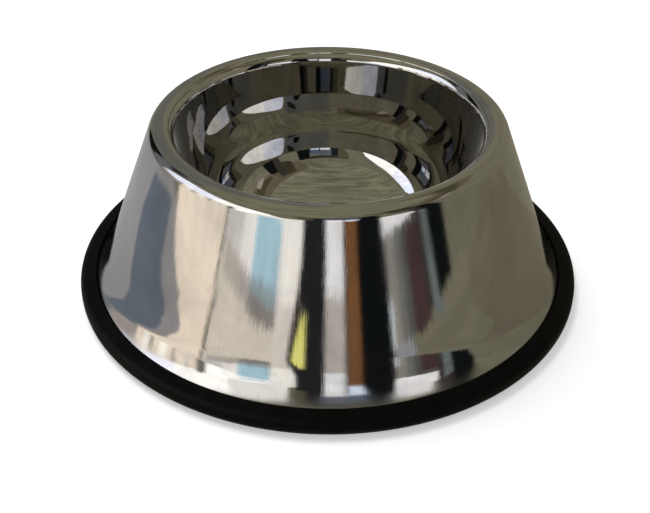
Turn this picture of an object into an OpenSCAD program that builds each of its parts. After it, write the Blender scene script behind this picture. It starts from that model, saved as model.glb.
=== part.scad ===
// Non-tip pet bowl for a dog with long ears.
// The top of a hollow conical skirt turns over and down into a short collar.
// A deep drawn, round-bottomed pan hangs in that collar by its rolled lip, flush with the skirt
// at a fine seam.
// The foot of the skirt flares out into a flange, and a moulded rubber ring is stretched over it.
// Millimetres, Z up. The origin is on the ground, on the bowl's own axis.

/* [Overall] */
// Height from the ground to the crest of the rim
overall_h = 86; // [76:0.5:100]
// Bore of the mouth, wall to wall, where the rim's roll ends
mouth_d = 146; // [130:1:160]
// Diameter of the edge of the foot flange, inside the rubber
flange_d = 240.4; // [220:0.4:260]

/* [Sheet metal] */
// Thickness of the stainless sheet
sheet_t = 0.8; // [0.5:0.1:1.2]
// Clearance between two lapped sheets
lap_gap = 0.05; // [0.02:0.01:0.15]

/* [Rim] */
// Radius of the half-round rim over its skin
rim_r = 6.4; // [5:0.1:9]
// Angle round the roll, from straight out, at which the edge of the pan's lip lies
seam_angle = 130; // [112:1:145]
// Angle round the roll over which the skirt's sheet steps down to pass under the lip
joggle_angle = 6; // [4:0.5:12]
// Height of the skirt's collar below the roll, behind the pan's wall
collar_h = 5; // [2:0.5:10]

/* [Pan] */
// Height of the pan's floor above the ground
pan_floor_h = 9; // [4:0.5:30]
// Radius of the curve between the pan's wall and its floor
corner_r = 41; // [20:0.5:48]
// Draft of the pan's wall
wall_draft = 8.5; // [0:0.1:12]

/* [Foot] */
// Radius of the easy curve in which the cone begins to turn out, on the skin
ease_r = 100; // [80:5:160]
// Slope of the skin, from upright, where the easy curve ends and the flare begins
ease_tilt = 25; // [22:0.5:28]
// Radius of the flare above the flange, on the skin
flare_r = 40; // [30:1:60]
// Slope of the skin, from upright, where the flare passes under the rubber's lip
flare_tilt = 41.5; // [34:0.5:60]
// Radius of the curl between the flare and the flat flange, on the skin
curl_r = 3; // [2:0.1:5]
// Width of the flat flange beyond the curl
flange_w = 2.4; // [0.8:0.1:4]

/* [Rubber ring] */
// Thickness of the rubber under the flange
ring_base_t = 7.4; // [6:0.1:10]
// Thickness of the lip that grips the top of the flange
ring_lip_t = 1.6; // [1:0.1:2.5]
// Rubber outside the edge of the flange
ring_wall = 3.6; // [2.6:0.1:6]
// Whole width of the ring's base
ring_w = 13; // [11:0.1:16]
// Clearance of the ring's groove round the flange's edge and the curl
groove_gap = 0.2; // [0.1:0.05:0.5]
// Rounding of the ring's outer corner at the top
ring_top_round = 3.8; // [2:0.1:4]
// Rounding of the ring's outer corner at the ground
ring_foot_round = 4.4; // [2:0.1:5]
// Angle round the curl, from level, at which the ring's lip ends
lip_angle = 52; // [46:1:80]
// Rounding of the edge of the ring's lip
lip_round = 0.5; // [0.2:0.1:0.7]
// Rounding of the ring's inner corners
ring_edge_round = 0.7; // [0.3:0.1:0.9]
// Width of each grip groove in the ring's underside
grip_w = 1.2; // [0.6:0.1:1.6]
// Depth of each grip groove
grip_depth = 0.6; // [0.3:0.1:1]

/* [Hidden] */
$fn = 180;

// Angle of one step along a drawn arc
arc_step = 5;
// Number of grip grooves in the ring's underside
grip_count = 2;

// Mouth and rim: the roll ends where it meets the drafted wall, at the bore of the mouth
mouth_r = mouth_d / 2;
roll_x = mouth_r + rim_r * cos(wall_draft);
roll_z = overall_h - rim_r;

// Foot flange, from the ground up
flange_under_z = ring_base_t;
flange_top_z = flange_under_z + sheet_t;
flange_r = flange_d / 2;

// The curl's centre stands over the inner edge of the flat flange
curl_x = flange_r - flange_w;
curl_z = flange_top_z + curl_r;

// The flare runs on from the curl, and the easy curve from the flare, without a break in slope
flare_x = curl_x + (flare_r - curl_r) * cos(flare_tilt);
flare_z = curl_z + (flare_r - curl_r) * sin(flare_tilt);
ease_x = flare_x + (ease_r - flare_r) * cos(ease_tilt);
ease_z = flare_z + (ease_r - flare_r) * sin(ease_tilt);

// The cone is the straight line that touches the easy curve and the roll
span_x = ease_x - roll_x;
span_z = ease_z - roll_z;
cone_angle = atan2(span_z, span_x) + acos((rim_r + ease_r) / norm([span_x, span_z]));

// Pan: the centre of the curve that joins the drafted wall to the floor
corner_z = pan_floor_h + corner_r;
roll_end_z = roll_z + rim_r * sin(wall_draft);
corner_x = mouth_r - (roll_end_z - corner_z) * tan(wall_draft) - corner_r / cos(wall_draft);

// Past the seam the skirt's sheet runs one sheet and one clearance under the skin
tuck_r = rim_r - sheet_t - lap_gap;
// Slope of the step, measured from the roll's surface
step_slope = 45;
// The step's lower face lies this angle ahead of its upper face, which keeps the thickness
step_lead = atan(sheet_t / rim_r * tan(step_slope / 2));

// Rubber ring
ring_groove_r = flange_r + groove_gap;
ring_r = ring_groove_r + ring_wall;
ring_inner_r = ring_r - ring_w;
ring_h = flange_top_z + ring_lip_t;
ring_land_r = ring_r - ring_foot_round;
grip_pitch = (ring_land_r - ring_inner_r) / (grip_count + 1);
lip_inner_r = curl_x - (curl_r - groove_gap) * cos(lip_angle);

// Points of an arc about [x, z], from angle a0 to angle a1
function arc(x, z, r, a0, a1) =
    let (n = max(2, ceil(abs(a1 - a0) / arc_step)))
    [for (i = [0 : n]) let (a = a0 + (a1 - a0) * i / n) [x + r * cos(a), z + r * sin(a)]];

// Points without the first, for a curve that runs on from another
function after(points) = [for (i = [1 : len(points) - 1]) points[i]];

function reversed(points) = [for (i = [len(points) - 1 : -1 : 0]) points[i]];

// One face of the skirt's sheet, from the flange's edge over the roll to the collar's end
// depth is how far the face lies under the skin, and lead moves its step ahead
function skirt_face(depth, lead) = concat(
    [[flange_r, flange_top_z - depth]],
    arc(curl_x, curl_z, curl_r + depth, 270, 180 + flare_tilt),
    after(arc(flare_x, flare_z, flare_r + depth, 180 + flare_tilt, 180 + ease_tilt)),
    after(arc(ease_x, ease_z, ease_r + depth, 180 + ease_tilt, 180 + cone_angle)),
    arc(roll_x, roll_z, rim_r - depth, cone_angle, seam_angle - joggle_angle - lead),
    arc(roll_x, roll_z, tuck_r - depth, seam_angle - lead, 180 - wall_draft),
    [[
        roll_x - (tuck_r - depth) * cos(wall_draft) - collar_h * sin(wall_draft),
        roll_z + (tuck_r - depth) * sin(wall_draft) - collar_h * cos(wall_draft)
    ]]
);

// One face of the pan's sheet, from the edge of its lip to the middle of its floor
function pan_face(depth) = concat(
    arc(roll_x, roll_z, rim_r - depth, seam_angle, 180 - wall_draft),
    arc(corner_x, corner_z, corner_r + depth, -wall_draft, -90),
    [[0, pan_floor_h - depth]]
);

// Pressed skirt: collar, rim, cone, flare, curl and foot flange in one sheet
module outer_skirt() {
    color("silver")
    rotate_extrude()
    polygon(concat(skirt_face(0, 0), reversed(skirt_face(sheet_t, step_lead))));
}

// Deep drawn pan, whose rolled lip rests on the skirt's sheet and ends at the seam
module inner_bowl() {
    color("gainsboro")
    rotate_extrude()
    polygon(concat(pan_face(0), reversed(pan_face(sheet_t))));
}

// Outline of the rubber, with the groove that holds the flange
function ring_outline() = concat(
    arc(ring_inner_r + ring_edge_round, ring_edge_round, ring_edge_round, 180, 270),
    arc(ring_land_r, ring_foot_round, ring_foot_round, 270, 360),
    arc(ring_r - ring_top_round, ring_h - ring_top_round, ring_top_round, 0, 90),
    arc(lip_inner_r + lip_round, ring_h - lip_round, lip_round, 90, 180),
    arc(curl_x, curl_z, curl_r - groove_gap, 180 + lip_angle, 270),
    [
        [curl_x, flange_top_z],
        [ring_groove_r, flange_top_z],
        [ring_groove_r, flange_under_z]
    ],
    arc(ring_inner_r + ring_edge_round, flange_under_z - ring_edge_round, ring_edge_round, 90, 180)
);

// Moulded non-slip ring, with grip grooves in the face that stands on the ground
module rubber_ring() {
    color("dimgray")
    rotate_extrude()
    difference() {
        polygon(ring_outline());
        for (i = [1 : grip_count])
            translate([ring_inner_r + i * grip_pitch - grip_w / 2, -grip_depth])
            square([grip_w, 2 * grip_depth]);
    }
}

outer_skirt();
inner_bowl();
rubber_ring();
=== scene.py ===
import math

import bmesh
import bpy
from mathutils import Matrix, Vector, noise


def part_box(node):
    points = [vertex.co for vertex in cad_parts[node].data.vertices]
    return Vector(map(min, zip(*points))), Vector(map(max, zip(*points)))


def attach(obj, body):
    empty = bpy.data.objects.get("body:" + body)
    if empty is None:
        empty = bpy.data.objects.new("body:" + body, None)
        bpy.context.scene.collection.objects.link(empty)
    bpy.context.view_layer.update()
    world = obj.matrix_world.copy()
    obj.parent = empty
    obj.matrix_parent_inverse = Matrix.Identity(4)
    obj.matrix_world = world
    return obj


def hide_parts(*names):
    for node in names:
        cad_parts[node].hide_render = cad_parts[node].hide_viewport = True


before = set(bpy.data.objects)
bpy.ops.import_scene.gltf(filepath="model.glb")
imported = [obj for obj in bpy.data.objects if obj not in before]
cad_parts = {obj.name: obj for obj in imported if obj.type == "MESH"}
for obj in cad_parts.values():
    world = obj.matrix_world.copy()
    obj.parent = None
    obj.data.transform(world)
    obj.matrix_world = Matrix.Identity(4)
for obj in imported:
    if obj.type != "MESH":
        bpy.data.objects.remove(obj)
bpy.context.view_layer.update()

# Camera.
# It looks down at the bowl from in front and close by, so the ring at the front is clearly
# wider than the ring at the back. It is rolled a fraction of a degree.
mm = 0.001
camera_distance = 510.9 * mm
camera_target = Vector((0, 0, 49.6 * mm))
camera_tilt = math.radians(31.11)
camera_roll = math.radians(0.434)

look = Vector((0, math.cos(camera_tilt), -math.sin(camera_tilt)))
level_right = Vector((1, 0, 0))
level_up = level_right.cross(look)
camera_right = math.cos(camera_roll) * level_right + math.sin(camera_roll) * level_up
camera_up = camera_right.cross(look)

camera_data = bpy.data.cameras.new("camera")
camera_data.lens = 57.6
camera_data.sensor_width = 36
camera_data.shift_x = -0.0052
camera_data.shift_y = -0.115
camera_data.clip_start = 10 * mm
camera_data.clip_end = 20
camera = bpy.data.objects.new("camera", camera_data)
bpy.context.scene.collection.objects.link(camera)
camera.matrix_world = Matrix.Translation(camera_target - camera_distance * look) @ Matrix(
    (camera_right, camera_up, -look)
).transposed().to_4x4()
bpy.context.scene.camera = camera
bpy.context.scene.view_settings.view_transform = "Standard"

# Skirt.
# One stainless sheet pressed into a hollow cone. Its top turns over the rim and down into a
# short collar that carries the pan, and its foot flares out into a flat flange.
skirt_low, skirt_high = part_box("outer_skirt")
sheet_t = 0.8 * mm
lap_gap = 0.05 * mm
mouth_r = 73 * mm
rim_r = 6.4 * mm
curl_r = 3 * mm
flange_w = 2.4 * mm
flange_r = skirt_high.x
flange_top_z = skirt_low.z + sheet_t
# The flange's edge, hidden in the rubber, is drawn a little short of the groove
flange_trim = 0.25 * mm

# Angles are in degrees, and those round a curve start at straight out and go over the top
wall_draft = 8.5
draft = math.radians(wall_draft)
roll_x = mouth_r + rim_r * math.cos(draft)
roll_z = skirt_high.z - rim_r
curl_x = flange_r - flange_w
curl_z = flange_top_z + curl_r

# The sheet steps down under the pan's lip at the seam, and ends in the collar
seam_angle = 130
joggle_angle = 3.2
step_slope = 45
tuck_r = rim_r - sheet_t - lap_gap
collar_h = 5 * mm

# The cone turns out in a long easy curve, then in the flare, then in a tight curl under the rubber
ease_r = 100 * mm
ease_tilt = 25
flare_r = 40 * mm
flare_tilt = 41.5
flare_x = curl_x + (flare_r - curl_r) * math.cos(math.radians(flare_tilt))
flare_z = curl_z + (flare_r - curl_r) * math.sin(math.radians(flare_tilt))
ease_x = flare_x + (ease_r - flare_r) * math.cos(math.radians(ease_tilt))
ease_z = flare_z + (ease_r - flare_r) * math.sin(math.radians(ease_tilt))
span = math.hypot(ease_x - roll_x, ease_z - roll_z)
cone_angle = math.degrees(
    math.atan2(ease_z - roll_z, ease_x - roll_x) + math.acos((rim_r + ease_r) / span)
)

steps_round = 360
edge_step = 0.3 * mm


def arc(x, z, radius, start, end, step):
    """Points of an arc about (x, z), from one angle to another, in degrees."""
    count = max(1, math.ceil(abs(end - start) / step))
    angles = [math.radians(start + (end - start) * i / count) for i in range(count + 1)]
    return [(x + radius * math.cos(a), z + radius * math.sin(a)) for a in angles]


def line(start, end, step):
    """Points between two points, both left out, with one close to each end to keep it true."""
    length = math.dist(start, end)
    count = max(1, math.ceil(length / step))
    shares = [i / count for i in range(1, count)]
    if length > 4 * edge_step:
        shares = [edge_step / length, *shares, 1 - edge_step / length]
    return [
        (start[0] + (end[0] - start[0]) * share, start[1] + (end[1] - start[1]) * share)
        for share in shares
    ]


def spin(name, outline):
    """Turns an outline of (radius, height) points round the axis.
    A point on the axis makes a single vertex."""
    bm = bmesh.new()
    rings = []
    angles = [2 * math.pi * k / steps_round for k in range(steps_round)]
    for radius, height in outline:
        if radius == 0:
            rings.append([bm.verts.new((0, 0, height))] * steps_round)
            continue
        rings.append(
            [bm.verts.new((radius * math.cos(a), radius * math.sin(a), height)) for a in angles]
        )
    pairs = list(zip(rings, rings[1:]))
    if outline[0][0] > 0:
        pairs.append((rings[-1], rings[0]))
    for lower, upper in pairs:
        for k in range(steps_round):
            corners = [lower[k], lower[k - 1], upper[k - 1], upper[k]]
            bm.faces.new(list(dict.fromkeys(corners)))
    bmesh.ops.recalc_face_normals(bm, faces=bm.faces)
    mesh = bpy.data.meshes.new(name)
    bm.to_mesh(mesh)
    bm.free()
    for face in mesh.polygons:
        face.use_smooth = True
    piece = bpy.data.objects.new(name, mesh)
    bpy.context.scene.collection.objects.link(piece)
    return piece


def fade(value, low, high):
    """Goes smoothly from 0 at low to 1 at high."""
    share = min(1, max(0, (value - low) / (high - low)))
    return share * share * (3 - 2 * share)


def skirt_face(depth, arc_step, line_step):
    """The skirt's skin, or the face of the sheet that lies depth under it, from flange to collar."""
    lead = 0
    if depth > 0:
        lead = math.degrees(math.atan(sheet_t / rim_r * math.tan(math.radians(step_slope / 2))))
    curl = arc(curl_x, curl_z, curl_r + depth, 270, 180 + flare_tilt, arc_step)
    # The longer a curve's radius, the finer its steps
    flare = arc(flare_x, flare_z, flare_r + depth, 180 + flare_tilt, 180 + ease_tilt, arc_step / 2)
    ease = arc(ease_x, ease_z, ease_r + depth, 180 + ease_tilt, 180 + cone_angle, arc_step / 5)
    rim = arc(roll_x, roll_z, rim_r - depth, cone_angle, seam_angle - joggle_angle - lead, arc_step)
    tuck = arc(roll_x, roll_z, tuck_r - depth, seam_angle - lead, 180 - wall_draft, arc_step)
    edge = (flange_r - flange_trim, curl[0][1])
    foot = (tuck[-1][0] - collar_h * math.sin(draft), tuck[-1][1] - collar_h * math.cos(draft))
    return [
        edge,
        *line(edge, curl[0], line_step),
        *curl,
        *flare[1:],
        *ease[1:],
        *line(ease[-1], rim[0], line_step),
        *rim,
        *tuck,
        *line(tuck[-1], foot, line_step),
        foot,
    ]


skirt_skin = skirt_face(0, arc_step=2.5, line_step=2.5 * mm)
skirt_under = skirt_face(sheet_t, arc_step=5, line_step=5 * mm)
skirt = spin("outer_skirt_sheet", skirt_skin + skirt_under[::-1])

# The pressed wall is never quite true: broad soft waves, both faces of the sheet alike.
# They fade out towards the foot and the rim.
wave = 0.035 * mm
waves_round = 3.2
waves_up = 1 / (55 * mm)
waves_from_z = flange_top_z + 2 * mm
waves_full_z = 30 * mm
waves_fade_z = 60 * mm
for vertex in skirt.data.vertices:
    x, y, z = vertex.co
    if math.hypot(x, y) < roll_x:
        continue
    outward = Vector((x, y, 0)).normalized()
    place = Vector((outward.x * waves_round, outward.y * waves_round, z * waves_up))
    share = fade(z, waves_from_z, waves_full_z) * (1 - fade(z, waves_fade_z, roll_z))
    vertex.co += outward * wave * share * noise.noise(place)


def node(tree, kind, inputs=None, **settings):
    """Adds a node. An input is set to a value or joined to another node's socket."""
    made = tree.nodes.new(kind)
    for option, value in settings.items():
        setattr(made, option, value)
    for socket, value in (inputs or {}).items():
        if isinstance(value, bpy.types.NodeSocket):
            tree.links.new(value, made.inputs[socket])
        else:
            made.inputs[socket].default_value = value
    return made


def maths(tree, operation, *values):
    """One step of arithmetic on sockets and numbers."""
    return node(tree, "ShaderNodeMath", dict(enumerate(values)), operation=operation).outputs[0]


def vector_maths(tree, operation, first, second=None):
    """One step of arithmetic on places and directions."""
    inputs = {0: first}
    if second is not None:
        inputs["Scale" if operation == "SCALE" else 1] = second
    made = node(tree, "ShaderNodeVectorMath", inputs, operation=operation)
    return made.outputs["Value" if operation in ("DOT_PRODUCT", "LENGTH") else "Vector"]


def ramp(tree, value, low, high, to_low=0.0, to_high=1.0):
    """Takes a value smoothly from one range to another and holds it at the ends."""
    inputs = {0: value, 1: low, 2: high, 3: to_low, 4: to_high}
    return node(tree, "ShaderNodeMapRange", inputs, interpolation_type="SMOOTHSTEP").outputs[0]


def tint(tree, share, first, second):
    """Mixes two colours."""
    inputs = {0: share, 6: first, 7: second}
    return node(tree, "ShaderNodeMix", inputs, data_type="RGBA").outputs[2]


def place_on(tree):
    """A point's place on the piece: whole, in parts, and without its height."""
    place = tree.nodes.new("ShaderNodeTexCoord").outputs["Object"]
    parts = node(tree, "ShaderNodeSeparateXYZ", {0: place}).outputs
    across = node(tree, "ShaderNodeCombineXYZ", {"X": parts["X"], "Y": parts["Y"]}).outputs[0]
    return place, parts, across


def effect(name, inputs, outputs):
    """Starts a shader node group with number inputs and outputs."""
    group = bpy.data.node_groups.new(name, "ShaderNodeTree")
    for socket, value in inputs.items():
        made = group.interface.new_socket(socket, in_out="INPUT", socket_type="NodeSocketFloat")
        made.default_value = value
    for socket in outputs:
        kind = "NodeSocketVector" if socket == "Normal" else "NodeSocketFloat"
        group.interface.new_socket(socket, in_out="OUTPUT", socket_type=kind)
    return group, group.nodes.new("NodeGroupInput"), group.nodes.new("NodeGroupOutput")


# Lines left by the polishing wheel. Around and Along say how close they lie round the bowl
# and from its top to its foot, Depth how deep they are and Tilt how far they smear a mirrored
# edge up and down.
polish_lines, enter, leave = effect(
    "polish_lines",
    {"Around": 100.0, "Along": 30.0, "Depth": 0.01 * mm, "Tilt": 0.01},
    ["Mask", "Normal"],
)
place, parts, across = place_on(polish_lines)
outward = vector_maths(polish_lines, "NORMALIZE", across)
radius = vector_maths(polish_lines, "DOT_PRODUCT", outward, place)
wheel = vector_maths(polish_lines, "SCALE", outward, enter.outputs["Around"])
climb = maths(polish_lines, "MULTIPLY", parts["Z"], enter.outputs["Along"])
lift = node(polish_lines, "ShaderNodeCombineXYZ", {"Z": climb}).outputs[0]
lines = node(
    polish_lines,
    "ShaderNodeTexNoise",
    {
        "Vector": vector_maths(polish_lines, "ADD", wheel, lift),
        "W": maths(polish_lines, "MULTIPLY", radius, enter.outputs["Along"]),
        "Scale": 1.0,
        "Detail": 3.0,
        "Roughness": 0.65,
    },
    noise_dimensions="4D",
).outputs[0]
grooves = node(
    polish_lines, "ShaderNodeBump", {"Height": lines, "Strength": 1.0, "Distance": enter.outputs["Depth"]}
).outputs[0]
sideways = vector_maths(polish_lines, "CROSS_PRODUCT", (0, 0, 1), outward)
downhill = vector_maths(polish_lines, "CROSS_PRODUCT", grooves, sideways)
balanced = maths(polish_lines, "SUBTRACT", lines, 0.5)
lean = maths(polish_lines, "MULTIPLY", balanced, enter.outputs["Tilt"])
leaning = vector_maths(polish_lines, "SCALE", downhill, lean)
smeared = vector_maths(polish_lines, "ADD", grooves, leaning)
polish_lines.links.new(vector_maths(polish_lines, "NORMALIZE", smeared), leave.inputs["Normal"])
polish_lines.links.new(ramp(polish_lines, lines, 0.52, 0.72), leave.inputs["Mask"])

# Cloudy marks left by hands and cloths. Size is how broad they are.
smudges, enter, leave = effect("smudges", {"Size": 0.03}, ["Mask"])
clouds = node(
    smudges,
    "ShaderNodeTexNoise",
    {
        "Vector": smudges.nodes.new("ShaderNodeTexCoord").outputs["Object"],
        "Scale": maths(smudges, "DIVIDE", 1.0, enter.outputs["Size"]),
        "Detail": 4.0,
        "Roughness": 0.55,
        "Distortion": 0.6,
    },
).outputs[0]
smudges.links.new(ramp(smudges, clouds, 0.45, 0.68), leave.inputs["Mask"])

steel_colour = (0.55, 0.54, 0.52, 1)
dull_colour = (0.45, 0.445, 0.44, 1)
# Inside the mouth the polish is finer: its lines are shallower and smear less than outside
polish_edge = 4 * mm
mouth_line_depth = 0.0015 * mm
added_line_depth = 0.006 * mm
mouth_line_tilt = 0.004
added_line_tilt = 0.024
# Roughness of clean steel, what each kind of mark adds, and the share of it inside the mouth
clean_rough = 0.03
smudge_rough = 0.04
line_rough = 0.03
hazy_rough = 0.12
mouth_rough_share = 0.35
# The wheel doesn't reach into the flare, so the foot is hazy
haze_from_z = 15 * mm
haze_full_z = 9.5 * mm
# How much smudges and lines dull the colour
smudge_dulling = 0.7
line_dulling = 0.5

steel = bpy.data.materials.new("polished_steel")
steel.use_nodes = True
tree = steel.node_tree
shader = tree.nodes["Principled BSDF"]
shader.inputs["Metallic"].default_value = 1
place, parts, across = place_on(tree)
radius = vector_maths(tree, "LENGTH", across)
outside = ramp(tree, radius, mouth_r, mouth_r + polish_edge)
line_marks = node(
    tree,
    "ShaderNodeGroup",
    {
        "Around": 330.0,
        "Along": 60.0,
        "Depth": maths(tree, "MULTIPLY_ADD", outside, added_line_depth, mouth_line_depth),
        "Tilt": maths(tree, "MULTIPLY_ADD", outside, added_line_tilt, mouth_line_tilt),
    },
    node_tree=polish_lines,
).outputs
smudge_mask = node(tree, "ShaderNodeGroup", {"Size": 0.035}, node_tree=smudges).outputs["Mask"]
hazy = ramp(tree, parts["Z"], haze_from_z, haze_full_z)
rough = maths(tree, "MULTIPLY_ADD", smudge_mask, smudge_rough, clean_rough)
rough = maths(tree, "MULTIPLY_ADD", line_marks["Mask"], line_rough, rough)
rough_share = maths(tree, "MULTIPLY_ADD", outside, 1 - mouth_rough_share, mouth_rough_share)
rough = maths(tree, "MULTIPLY", rough, rough_share)
rough = maths(tree, "MULTIPLY_ADD", hazy, hazy_rough, rough)
tree.links.new(rough, shader.inputs["Roughness"])
dulled = maths(tree, "MULTIPLY", smudge_mask, smudge_dulling)
dulled = maths(tree, "MULTIPLY_ADD", line_marks["Mask"], line_dulling, dulled)
tree.links.new(tint(tree, dulled, steel_colour, dull_colour), shader.inputs["Base Color"])
tree.links.new(line_marks["Normal"], shader.inputs["Normal"])

# The steel glows a dim olive in mirror rays past the third bounce: a painted reflection that stands in for
# the room mirrored many times over inside the pan
no_glow = (0, 0, 0, 1)
painted_reflection_glow = (0.17, 0.168, 0.155, 1)
last_clear_bounce = 3.5
bounces = tree.nodes.new("ShaderNodeLightPath").outputs["Glossy Depth"]
deep = maths(tree, "GREATER_THAN", bounces, last_clear_bounce)
tree.links.new(tint(tree, deep, no_glow, painted_reflection_glow), shader.inputs["Emission Color"])
shader.inputs["Emission Strength"].default_value = 1

skirt.data.materials.append(steel)
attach(skirt, "root")
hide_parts("outer_skirt")

# Pan.
# A deep drawn stainless pan with a tapered wall and a round bottom. Its lip is rolled over and
# hangs on the skirt's sheet, and the joint is welded and polished to a fine line inside the rim.
pan_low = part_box("inner_bowl")[0]
corner_r = 41 * mm
floor_z = pan_low.z + sheet_t
wall_top_z = roll_z + rim_r * math.sin(draft)
corner_z = floor_z + corner_r
corner_x = mouth_r - (wall_top_z - corner_z) * math.tan(draft) - corner_r / math.cos(draft)


def pan_face(depth, arc_step, line_step):
    """The pan's inner face, or the face depth under it, from the middle of the floor to the lip."""
    middle = (0, floor_z - depth)
    corner = arc(corner_x, corner_z, corner_r + depth, -90, -wall_draft, arc_step)
    rim = arc(roll_x, roll_z, rim_r - depth, 180 - wall_draft, seam_angle, arc_step)
    return [
        middle,
        *line(middle, corner[0], line_step),
        *corner,
        *line(corner[-1], rim[0], line_step),
        *rim,
    ]


pan_inside = pan_face(0, arc_step=1.5, line_step=2 * mm)
pan_under = pan_face(sheet_t, arc_step=4, line_step=4 * mm)
pan = spin("inner_bowl_pan", pan_inside + pan_under[::-1])

# Drawing leaves low ripples, which run up the wall and in long drifting rows across the floor.
# They fade out where wall and floor meet, and below the rim.
wall_ripple = 0.03 * mm
wall_ripples_round = 5
wall_ripples_up = 12
floor_ripple = 0.05 * mm
floor_ripple_length = 34 * mm
floor_ripple_width = 6 * mm
floor_drift = 1.6
floor_drift_size = 30 * mm
floor_full_r = corner_x - 4 * mm
floor_end_r = corner_x + 20 * mm
wall_from_z = floor_z + 8 * mm
wall_fade_z = roll_z - 14 * mm
for vertex in pan.data.vertices:
    x, y, z = vertex.co
    reach = math.hypot(x, y)
    on_floor = 1 - fade(reach, floor_full_r, floor_end_r)
    on_wall = fade(z, wall_from_z, corner_z) * (1 - fade(z, wall_fade_z, roll_z))
    if reach > 0:
        outward = Vector((x, y, 0)).normalized()
        place = Vector(
            (outward.x * wall_ripples_round, outward.y * wall_ripples_round, z * wall_ripples_up)
        )
        vertex.co += outward * wall_ripple * on_wall * noise.noise(place)
    drift = floor_drift * noise.noise(Vector((x, y, 0)) / floor_drift_size)
    place = Vector((x / floor_ripple_length, y / floor_ripple_width + drift, 0))
    vertex.co.z += floor_ripple * on_floor * noise.noise(place)

pan.data.materials.append(steel)
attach(pan, "root")
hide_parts("inner_bowl")

# Rubber ring.
# A moulded black ring with a groove inside, stretched over the edge of the foot flange. It
# keeps the bowl from sliding, and has two grip grooves in the face that it stands on.
ring_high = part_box("rubber_ring")[1]
ring_r = ring_high.x
ring_h = ring_high.z
ring_w = 13 * mm
ring_inner_r = ring_r - ring_w
ring_top_round = 3.8 * mm
ring_foot_round = 4.4 * mm
ring_edge_round = 0.7 * mm
groove_gap = 0.2 * mm
groove_r = flange_r + groove_gap
lip_angle = 52
lip_round = 0.5 * mm
lip_inner_r = curl_x - (curl_r - groove_gap) * math.cos(math.radians(lip_angle))
grip_w = 1.2 * mm
grip_depth = 0.6 * mm
grip_count = 2
land_r = ring_r - ring_foot_round
grip_pitch = (land_r - ring_inner_r) / (grip_count + 1)

ring_outline = arc(ring_inner_r + ring_edge_round, ring_edge_round, ring_edge_round, 180, 270, 10)
for grip in range(1, grip_count + 1):
    middle = ring_inner_r + grip * grip_pitch
    ring_outline += [
        (middle - grip_w / 2, 0),
        (middle - grip_w / 2, grip_depth),
        (middle + grip_w / 2, grip_depth),
        (middle + grip_w / 2, 0),
    ]
ring_outline += arc(land_r, ring_foot_round, ring_foot_round, 270, 360, 5)
ring_outline += arc(ring_r - ring_top_round, ring_h - ring_top_round, ring_top_round, 0, 90, 5)
ring_outline += arc(lip_inner_r + lip_round, ring_h - lip_round, lip_round, 90, 180, 10)
ring_outline += arc(curl_x, curl_z, curl_r - groove_gap, 180 + lip_angle, 270, 8)
ring_outline += [(curl_x, flange_top_z), (groove_r, flange_top_z), (groove_r, skirt_low.z)]
ring_outline += arc(
    ring_inner_r + ring_edge_round, skirt_low.z - ring_edge_round, ring_edge_round, 90, 180, 10
)
ring = spin("rubber_ring_moulding", ring_outline)

# Worn patches are a little greyer and rougher, and the whole ring has a fine moulded grain
rubber_colour = (0.002, 0.002, 0.0022, 1)
worn_colour = (0.004, 0.004, 0.0043, 1)
rubber_rough = 0.5
wear_rough = 0.1
grain_depth = 0.02 * mm

rubber = bpy.data.materials.new("black_rubber")
rubber.use_nodes = True
tree = rubber.node_tree
shader = tree.nodes["Principled BSDF"]
shader.inputs["Specular IOR Level"].default_value = 0.09
worn = node(tree, "ShaderNodeGroup", {"Size": 0.012}, node_tree=smudges).outputs["Mask"]
place = tree.nodes.new("ShaderNodeTexCoord").outputs["Object"]
grain = node(tree, "ShaderNodeTexNoise", {"Vector": place, "Scale": 1400.0, "Detail": 2.0}).outputs[0]
rough = maths(tree, "MULTIPLY_ADD", worn, wear_rough, rubber_rough)
tree.links.new(rough, shader.inputs["Roughness"])
tree.links.new(tint(tree, worn, rubber_colour, worn_colour), shader.inputs["Base Color"])
bump = node(tree, "ShaderNodeBump", {"Height": grain, "Strength": 1.0, "Distance": grain_depth})
tree.links.new(bump.outputs[0], shader.inputs["Normal"])
ring.data.materials.append(rubber)
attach(ring, "root")
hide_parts("rubber_ring")

# Floor and room.
# A pale floor and a white room round it. The camera, the metal and the rubber see both as
# white, and the floor keeps the bowl's shadow.
floor_reach = 6
floor_colour = (0.85, 0.85, 0.85, 1)
# The floor's glow brings it up to white, and the room gives less light than it shows
floor_glow = 0.425
room_light = 0.45


def seen_in(tree):
    """1 for what is seen straight, in a mirror or through glass, and 0 for the light it gives."""
    path = tree.nodes.new("ShaderNodeLightPath").outputs
    seen = maths(tree, "ADD", path["Is Camera Ray"], path["Is Glossy Ray"])
    return maths(tree, "ADD", seen, path["Is Transmission Ray"])


floor_mesh = bpy.data.meshes.new("floor")
floor_corners = [
    (-floor_reach, -floor_reach, 0),
    (floor_reach, -floor_reach, 0),
    (floor_reach, floor_reach, 0),
    (-floor_reach, floor_reach, 0),
]
floor_mesh.from_pydata(floor_corners, [], [(0, 1, 2, 3)])
floor = bpy.data.objects.new("floor", floor_mesh)
bpy.context.scene.collection.objects.link(floor)
pale = bpy.data.materials.new("pale_floor")
pale.use_nodes = True
tree = pale.node_tree
tree.nodes.clear()
lit = node(tree, "ShaderNodeBsdfDiffuse", {"Color": floor_colour})
glow = node(tree, "ShaderNodeEmission", {"Strength": maths(tree, "MULTIPLY", seen_in(tree), floor_glow)})
both = node(tree, "ShaderNodeAddShader", {0: lit.outputs[0], 1: glow.outputs[0]})
node(tree, "ShaderNodeOutputMaterial", {"Surface": both.outputs[0]})
floor_mesh.materials.append(pale)

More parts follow.
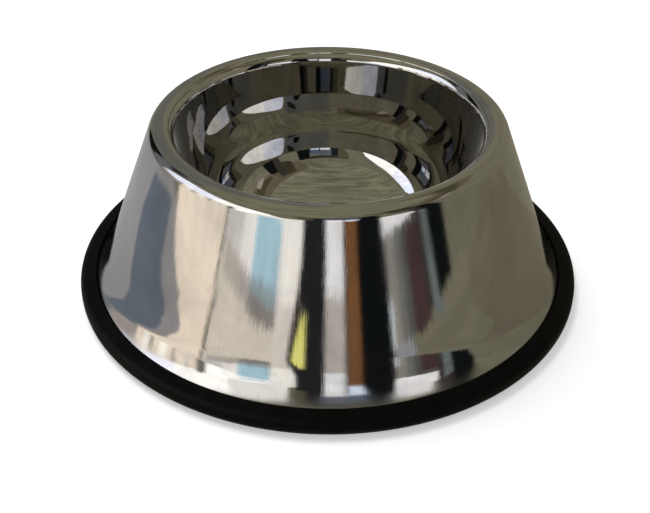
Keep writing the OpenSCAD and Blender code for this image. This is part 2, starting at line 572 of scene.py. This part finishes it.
world = bpy.data.worlds.new("world")
bpy.context.scene.world = world
world.use_nodes = True
tree = world.node_tree
tree.nodes.clear()
brightness = ramp(tree, seen_in(tree), 0, 1, room_light, 1.0)
backdrop = node(tree, "ShaderNodeBackground", {"Strength": brightness})
node(tree, "ShaderNodeOutputWorld", {"Surface": backdrop.outputs[0]})

# Lamp.
# One broad soft lamp overhead, a little behind and to the left of the bowl. The steel doesn't
# mirror it, since the cards below stand for what the steel shows.
lamp_data = bpy.data.lights.new("overhead_lamp", "AREA")
lamp_data.shape = "DISK"
lamp_data.size = 0.9
lamp_data.energy = 12
lamp = bpy.data.objects.new("overhead_lamp", lamp_data)
lamp.location = (-0.45, 0.35, 1.3)
lamp.rotation_euler = (Vector(lamp.location)).to_track_quat("Z", "Y").to_euler()
lamp.visible_glossy = False
bpy.context.scene.collection.objects.link(lamp)

# Reflector cards.
# Cards and flags stand round the bowl as in a product studio. Only the metal and the gloss
# on the rubber see them. They are the bright and dark bands that shape polished steel.
card_distance = 2.0
card_gap = 0.01
card_centre = Vector((0, 0, 50 * mm))
card_step = 6
card_unevenness = 0.1
cards_made = 0


def card_material(name, colour, unevenness=card_unevenness, stretch=(1, 1, 1)):
    """A self-lit colour, painted a little unevenly."""
    material = bpy.data.materials.new(name)
    material.use_nodes = True
    material.cycles.emission_sampling = "NONE"
    tree = material.node_tree
    tree.nodes.clear()
    place = tree.nodes.new("ShaderNodeTexCoord").outputs["Object"]
    grain = vector_maths(tree, "MULTIPLY", place, stretch)
    paint = node(
        tree, "ShaderNodeTexNoise", {"Vector": grain, "Scale": 2.6, "Detail": 3.0, "Distortion": 1.2}
    ).outputs[0]
    strength = ramp(tree, paint, 0.3, 0.7, 1 - unevenness, 1 + unevenness)
    glow = node(tree, "ShaderNodeEmission", {"Color": (*colour, 1), "Strength": strength})
    node(tree, "ShaderNodeOutputMaterial", {"Surface": glow.outputs[0]})
    return material


def set_up(name, corners, faces, material):
    """Puts a card in the scene, where it is seen in gloss alone and casts no shadow."""
    mesh = bpy.data.meshes.new(name)
    mesh.from_pydata(corners, [], faces)
    mesh.materials.append(material)
    piece = bpy.data.objects.new(name, mesh)
    bpy.context.scene.collection.objects.link(piece)
    piece.visible_camera = False
    piece.visible_diffuse = False
    piece.visible_shadow = False
    piece.visible_transmission = False
    piece.visible_volume_scatter = False


def finer(columns):
    """Adds columns between those that stand far apart, so that a card keeps to its own sphere."""
    made = [columns[0]]
    for first, second in zip(columns, columns[1:]):
        count = max(1, math.ceil(abs(second[0] - first[0]) / card_step))
        for i in range(1, count + 1):
            made.append(tuple(a + (b - a) * i / count for a, b in zip(first, second)))
    return made


def round_bowl(bearing, distance, height):
    """A point that far from the bowl's axis. A bearing of 0 is towards the camera, 90 to its right."""
    a = math.radians(bearing)
    return (math.sin(a) * distance, -math.cos(a) * distance, height)


def mat_height():
    """Height in millimetres at which the newest card lies on the floor, over those before it."""
    return 1 + 0.1 * cards_made


def card(name, colour, columns, floor_from=None, **finish):
    """A card given by columns of (bearing, lowest, highest) in degrees, as seen from the bowl.
    Each card stands a little closer than the last, so it covers it. floor_from is the distance
    at which the card also starts on the floor, and finish is what card_material takes."""
    global cards_made
    reach = card_distance - cards_made * card_gap
    cards_made += 1
    columns = finer(columns)
    rows = math.ceil(max(high - low for bearing, low, high in columns) / card_step)
    corners = []
    faces = []
    for bearing, low, high in columns:
        a = math.radians(bearing)
        for row in range(rows + 1):
            e = math.radians(low + (high - low) * row / rows)
            direction = Vector((math.sin(a) * math.cos(e), -math.cos(a) * math.cos(e), math.sin(e)))
            corners.append(tuple(card_centre + reach * direction))
    for k in range(len(columns) - 1):
        for row in range(rows):
            corner = k * (rows + 1) + row
            faces.append((corner, corner + 1, corner + rows + 2, corner + rows + 1))
    if floor_from:
        start = len(corners)
        for bearing, low, high in columns:
            corners.append(round_bowl(bearing, floor_from, mat_height() * mm))
            corners.append(round_bowl(bearing, reach, mat_height() * mm))
        for k in range(start, start + 2 * len(columns) - 2, 2):
            faces.append((k, k + 1, k + 3, k + 2))
    set_up(name, corners, faces, card_material(name, colour, **finish))


def even(start, end, low, high):
    """Columns of one height, from one bearing to another."""
    return [(start, low, high), (end, low, high)]


def panel(name, colour, corners):
    """A flat card given by corners of (bearing, distance in metres, height in millimetres)."""
    places = [round_bowl(bearing, distance, height * mm) for bearing, distance, height in corners]
    set_up(name, places, [tuple(range(len(places)))], card_material(name, colour))


def mat(name, colour, corners):
    """A card that lies on the floor, given by corners of (bearing, distance)."""
    global cards_made
    cards_made += 1
    panel(name, colour, [(bearing, distance, mat_height()) for bearing, distance in corners])


# Where cards on the floor end, and where they start at the rubber's edge, in metres
far = 2.2
near = 0.1245

# The room: a ceiling, walls, and a table that the bowl stands on
card(
    "ceiling_card",
    (0.28, 0.268, 0.182),
    even(-180, 180, 40, 89.9),
    unevenness=0.3,
    stretch=(0.5, 3, 0.5),
)
card("wall_card", (0.25, 0.232, 0.168), even(-180, 180, -4, 42), near)
card(
    "shade_card",
    (0.185, 0.162, 0.104),
    [(24, 42, 50), (34, 36, 52), (60, 38, 55), (90, 41, 57), (130, 43, 58), (165, 43, 55)],
)
card("corner_card", (0.075, 0.062, 0.038), [(38, 33, 50), (50, 30, 50), (58, 34, 50)])
card("back_wall_card", (0.2, 0.2, 0.175), even(-180, -122, -4, 50))
card("left_shade_card", (0.18, 0.178, 0.168), even(-130, -106, 30, 50))
mat(
    "left_table_card",
    (0.41, 0.41, 0.42),
    [(-152, near), (-152, 0.5), (-130, 0.6), (-100, 0.8), (-80, 0.8), (-60, 0.5), (-62, near)],
)
mat(
    "cream_table_card",
    (1.38, 1.19, 0.99),
    [(-92, 1.0), (-88, far), (-70, far), (-56, far), (-55.5, 1.0), (-53, 0.5), (-49, 0.3)]
    + [(-47, 0.2), (-60, 0.15), (-69, 0.155), (-66, 0.3), (-68, 0.42), (-82, 0.6)],
)
mat(
    "dusk_table_card",
    (0.44, 0.42, 0.43),
    [(-111, 0.42), (-106, 0.27), (-90, 0.185), (-76, 0.155), (-68, 0.155), (-62, 0.2), (-60, 0.29)]
    + [(-62, 0.32), (-68, 0.39), (-74, 0.43), (-82, 0.56), (-89, 0.8), (-95, 0.7), (-104, 0.5)],
)
mat(
    "blue_grey_table_card",
    (0.19, 0.22, 0.27),
    [(-110, 0.40), (-106, 0.28), (-92, 0.2), (-79, 0.165), (-71, 0.165), (-67, 0.2), (-67, 0.25)]
    + [(-71, 0.29), (-76, 0.31), (-82, 0.36), (-88, 0.5), (-92, 0.68), (-97, 0.6), (-104, 0.47)],
)
mat(
    "right_table_card",
    (0.212, 0.193, 0.138),
    [(70, near), (66, 0.4), (72, 0.75), (95, 0.8), (112, 0.6), (112, near)],
)
mat(
    "beige_table_card",
    (1.02, 0.93, 0.82),
    [(-54.5, far), (-54, 1.0), (-51.5, 0.5), (-47.5, 0.3), (-46, 0.2), (-30, 0.2), (-14, 0.4)]
    + [(-14, far)],
)

# The window at the left, with a post, and what stands in front of it
card(
    "window_left_card",
    (1.4, 1.5, 1.75),
    [(-110, -4, 8), (-108, -4, 25), (-103, -4, 36), (-97, -4, 39), (-90, -2.5, 39)],
)
card("window_middle_card", (1.65, 1.68, 1.95), [(-90, -2.5, 39), (-80, -1, 38.5), (-70, 1, 37)])
card(
    "window_card",
    (1.9, 1.88, 1.84),
    [(-70, 1, 37), (-60, 2, 35), (-50, 4, 33), (-40, 5, 29)]
    + [(-35, 5, 26), (-30, 5, 19), (-24, 5, 14), (-16, 5, 10)],
)
card("low_window_card", (0.52, 0.47, 0.45), [(-112, -4, 8), (-104, -4, 10), (-93, -4, 11)])
card(
    "cream_card",
    (1.32, 1.15, 0.96),
    [(-94, -4, 11), (-88, -4, 14), (-70, -4, 14.5), (-56.5, -4, 14)],
)

# Panes and bars low in the window: bearing of the middle, width, and brightness.
# Their lower edges rise from the left towards the post.
panes = [(-93, 2.5, 0.5), (-86, 3, 1.5), (-82.5, 1.6, 0.5), (-76, 4, 1.6), (-70, 1.5, 0.55), (-63, 2, 1.0)]
pane_tint = (1, 0.97, 0.9)
pane_top = 15
post_bearing = -56
pane_foot = 4
pane_foot_rise = 0.17
for count, (bearing, width, shade) in enumerate(panes):
    low = pane_foot + (bearing - post_bearing) * pane_foot_rise
    card(
        f"pane_{count}_card",
        tuple(shade * part for part in pane_tint),
        even(bearing - width / 2, bearing + width / 2, low, pane_top),
    )
card("post_card", (0.26, 0.26, 0.2), [(-58, 3.8, 17), (-53.5, 4.8, 15)])
card("beige_card", (0.98, 0.9, 0.78), [(-56, -4, 5), (-39, -4, 7.4), (-24, -4, 8.6)])
card("grey_card", (0.98, 0.95, 0.9), [(-56, 2, 5), (-46, 2, 6.5)])
card("white_card", (1.38, 1.33, 1.27), [(-46, 1.7, 7), (-39, 1.7, 8.5)])
card("shadow_card", (0.68, 0.62, 0.56), [(-54, 0.2, 2.2), (-46, 0, 2.2), (-39, 0, 2)])
card("brown_card", (0.37, 0.34, 0.31), [(-39, -0.2, 1.6), (-31, -0.2, 1.6), (-24.5, 0.1, 1.6)])
card("blue_shade_card", (0.46, 0.56, 0.6), [(-39, 1.2, 3), (-24.5, 1.4, 3)])
card("blue_card", (0.6, 0.9, 1.06), [(-39, 2.2, 10), (-24.5, 2.7, 10.5)])
card("blue_top_card", (1.15, 1.28, 1.34), [(-38, 10, 14), (-25.5, 10.5, 13.5)])
card("pale_card", (1.48, 1.42, 1.33), [(-24.5, 2.2, 15), (-19, 2.2, 16), (-13, 2.2, 15)])
card("low_pale_card", (1.12, 1.03, 0.96), [(-24.5, -4, 2.3), (-17, -4, 2.3), (-14.5, -4, 2.3)], 0.5)
card("post_line_card", (0.22, 0.21, 0.17), even(-57.2, -56, -4, 5))

# The camera and what stands round it
flag_black = (0.008, 0.01, 0.011)
card(
    "slanted_flag",
    (0.07, 0.065, 0.05),
    [(-18, -4, -1), (-16.8, -4, 0.8), (-14.2, 0.2, 3.8), (-12.4, 2.6, 8)],
)
card("yellow_card", (1.25, 1.2, 0.36), [(-15.8, -4, -0.8), (-12.5, -4, 1.6), (-10, -4, 2.4)], 0.6)
card(
    "thin_flag",
    (0.025, 0.026, 0.028),
    [(-13.4, 3, 24), (-11.5, 2.4, 27), (-10, 1.8, 31), (-9.6, -4, 33), (-1.1, -4, 35)],
    0.5,
)
card("front_top_card", (0.06, 0.06, 0.048), [(-20, 33, 36), (10, 32, 36), (29, 33, 36)])
card("olive_card", (0.14, 0.13, 0.08), [(-20, 30, 35), (-13, 18, 35), (-9, 18, 35)])
card("slate_card", (0.17, 0.185, 0.23), even(-2.6, 10, 23, 32))
card("light_card", (1.27, 1.27, 1.3), even(-1.1, 7.9, 3.4, 23.5))
card("lower_light_card", (0.72, 0.66, 0.61), even(-1.1, 7.9, -4, 3.5), 0.6)
card("narrow_flag", (0.06, 0.055, 0.05), even(7.9, 9.2, -4, 26), 0.6)
card("blue_white_card", (1.1, 1.26, 1.48), [(9.2, 12.8, 23), (18, 13.5, 22)])
card("slate_blue_card", (0.13, 0.17, 0.26), [(9.2, 23, 29), (18, 22, 28)])
card("sand_card", (0.55, 0.5, 0.45), [(9.2, 11.2, 13), (16, 11.2, 13.8)])
card("copper_card", (0.29, 0.135, 0.056), even(9.2, 15.2, -4, 11.4), 0.5)
card("broad_flag", flag_black, [(15.2, -4, 13), (17.5, -4, 24), (19, -4, 34), (29.6, -4, 36)], 0.4)

# The right side
card("right_white_card", (1.42, 1.41, 1.43), [(29.6, 8, 18), (40, 8, 18), (48.5, 7.6, 18)])
card("right_grey_card", (0.4, 0.38, 0.34), even(29.6, 35, -4, 9))
mat("right_grey_table_card", (0.42, 0.43, 0.46), [(29.6, 0.5), (38, 0.35), (38, far), (29.6, far)])
card("right_dim_card", (0.24, 0.24, 0.22), [(34.5, -4, 9.2), (38, -4, 9)])
card("right_dark_card", (0.13, 0.13, 0.13), [(38, -4, 9), (49, -4, 8.5)])
card("edge_light_card", (1.0, 1.08, 1.15), [(29.6, -4, 2), (31, -4, 1.2)])
card("dark_red_card", (0.09, 0.052, 0.053), [(41, -4, 5.5), (49, -4, 4.5)], 1.0)
card("brown_flag", (0.06, 0.052, 0.045), [(48.5, -4, 46), (58, -4, 50)])
card("streak_card", (0.2, 0.235, 0.235), [(51.3, -4, 16), (55.5, -4, 12)], 0.8)
card("right_flag", flag_black, [(55.2, -4, 30), (58, -4, 42), (64, -2, 42), (66, 4, 40)], 1.4)

# The far side
card(
    "left_flag",
    flag_black,
    [(-141, -4, 2), (-137, -4, 14), (-130, -4, 27), (-124, 4, 27), (-122, 20, 27)],
)
card("left_grey_card", (0.2, 0.21, 0.23), even(-124, -111, -4, 34))
card("left_top_flag", (0.03, 0.03, 0.03), [(-123, 36, 44), (-118, 30, 43), (-112, 28, 38)])
card(
    "back_dark_card",
    (0.1, 0.09, 0.05),
    [(68, 42, 46), (95, 44, 51), (110, 47, 54), (130, 50, 57), (150, 47, 54)],
)
card("right_glint_card", (0.5, 0.45, 0.4), [(76, 38, 40), (84, 39, 44), (92, 42, 46)])

# Two white cards lean over the foot, close to the bowl
panel(
    "left_leaning_card",
    (1.34, 1.32, 1.28),
    [(-40, 0.5, 134), (-27, 0.5, 134), (-15, 0.5, 110)]
    + [(-14.5, 0.3, 138), (-25, 0.3, 142), (-36, 0.3, 141)],
)
panel(
    "right_leaning_card",
    (1.2, 1.19, 1.21),
    [(27, 0.5, 114), (43, 0.5, 114), (39.5, 0.3, 122), (25, 0.3, 132)],
)
